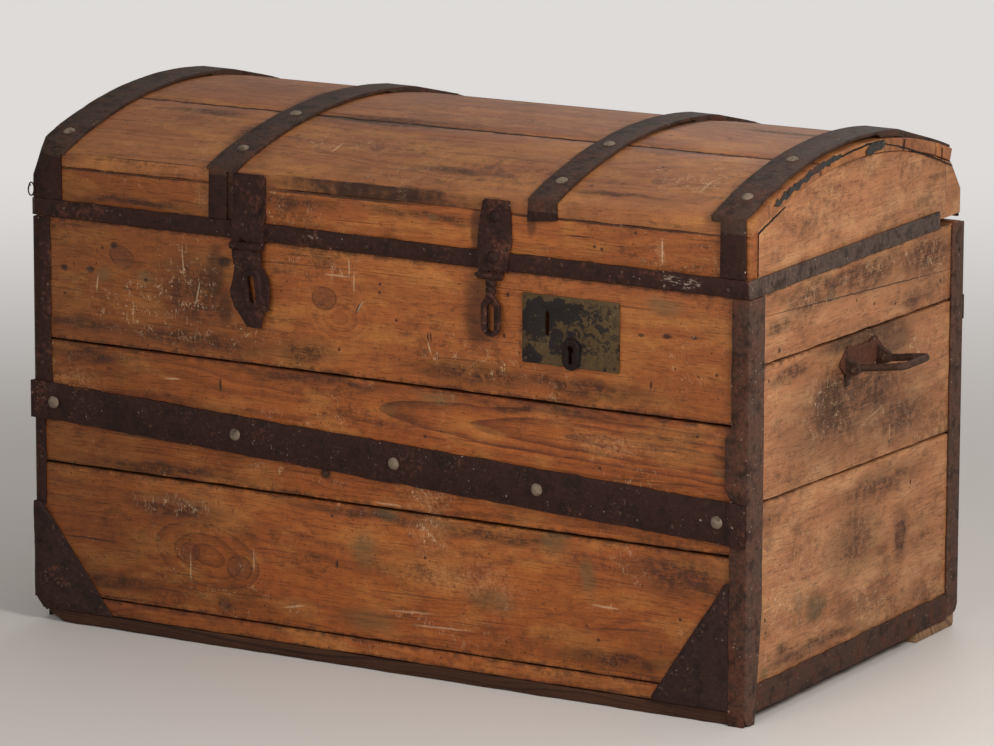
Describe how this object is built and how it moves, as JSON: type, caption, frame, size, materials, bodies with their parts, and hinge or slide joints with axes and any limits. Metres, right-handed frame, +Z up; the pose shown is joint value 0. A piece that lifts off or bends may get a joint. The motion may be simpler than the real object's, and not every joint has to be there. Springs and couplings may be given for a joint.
{
  "type": "dome top trunk",
  "caption": "Long wooden trunk with a low domed lid of curved boards, bound with iron straps and corner irons; the lid swings on back hinges and carries a hasp leaf and a twisted hook.",
  "frame": {"origin": "middle of the outline on the floor, with both handles standing out", "axes": "+Z up, +X along the front towards the right end, +Y towards the back"},
  "size_m": [1.1538, 0.583, 0.6623],
  "materials": {
    "old_pine": "worn, waxed",
    "lid_pine": "worn, waxed",
    "dark_wood": "stained",
    "raw_wood": "bare",
    "dark_iron": "forged, dark patina",
    "plain_iron": "worn",
    "aged_brass": "aged, stained"
  },
  "bodies": {
    "case": {"back_band": "dark_iron", "back_board_lower": "old_pine", "back_board_middle": "old_pine", "back_board_top": "old_pine", "back_left_corner_iron": "dark_iron", "back_right_corner_iron": "dark_iron", "case_domed_nails": "dark_iron", "floor_board_front": "old_pine", "floor_board_middle": "old_pine", "floor_board_rear": "old_pine", "front_band": "dark_iron", "front_board_lower": "old_pine", "front_board_middle": "old_pine", "front_board_top": "old_pine", "front_left_corner_iron": "dark_iron", "front_right_corner_iron": "dark_iron", "front_sill": "dark_wood", "front_strip": "old_pine", "handle_eyes": "dark_iron", "hinge_pins": "plain_iron", "keyhole_escutcheon": "aged_brass", "left_base_strap": "dark_iron", "left_end_board_lower": "old_pine", "left_end_board_middle": "old_pine", "left_end_board_top": "old_pine", "left_gusset": "dark_iron", "left_handle_plate": "dark_iron", "left_hinge_leaf": "dark_iron", "lock_case": "plain_iron", "lock_plate": "aged_brass", "rear_runner": "raw_wood", "right_base_strap": "dark_iron", "right_end_board_lower": "old_pine", "right_end_board_middle": "old_pine", "right_end_board_top": "old_pine", "right_gusset": "dark_iron", "right_handle_plate": "dark_iron", "right_hinge_leaf": "dark_iron"},
    "lid": {"lid_front_rail": "lid_pine", "lid_back_rail": "lid_pine", "left_lid_panel": "lid_pine", "right_lid_panel": "lid_pine", "dome_board_front": "lid_pine", "dome_board_crown": "lid_pine", "dome_board_rear": "lid_pine", "dome_board_back": "lid_pine", "left_end_band": "dark_iron", "right_end_band": "dark_iron", "left_hinge_band": "dark_iron", "right_hinge_band": "dark_iron", "lid_edge_band": "dark_iron", "lid_domed_nails": "dark_iron", "left_hasp_plate": "dark_iron", "right_hasp_plate": "dark_iron", "hasp_pins": "plain_iron"},
    "hasp_leaf": {"left_hasp_leaf": "dark_iron"},
    "hasp_hook": {"right_hasp_hook": "dark_iron"},
    "left_bail": {"left_handle_bail": "dark_iron"},
    "right_bail": {"right_handle_bail": "dark_iron"},
    "bolt": {"lock_bolt": "plain_iron"}
  },
  "joints": [
    {"name": "lid_hinge", "type": "hinge", "parent": "case", "child": "lid", "pos_m": [0, 0.285, 0.51515], "axis": [-1, 0, 0], "range_deg": [0, 100]},
    {"name": "hasp_leaf_hinge", "type": "hinge", "parent": "lid", "child": "hasp_leaf", "pos_m": [-0.186, -0.2867, 0.5085], "axis": [-1, 0, 0], "range_deg": [-2, 160]},
    {"name": "hasp_hook_hinge", "type": "hinge", "parent": "lid", "child": "hasp_hook", "pos_m": [0.156, -0.2867, 0.5085], "axis": [-1, 0, 0], "range_deg": [-2, 140]},
    {"name": "left_bail_hinge", "type": "hinge", "parent": "case", "child": "left_bail", "pos_m": [-0.511, 0.01, 0.387], "axis": [0, 1, 0], "range_deg": [-98, 86]},
    {"name": "right_bail_hinge", "type": "hinge", "parent": "case", "child": "right_bail", "pos_m": [0.511, 0.01, 0.387], "axis": [0, -1, 0], "range_deg": [-98, 86]},
    {"name": "bolt_slide", "type": "slide", "parent": "case", "child": "bolt", "axis": [-1, 0, 0], "range_m": [0, 0.015]}
  ]
}
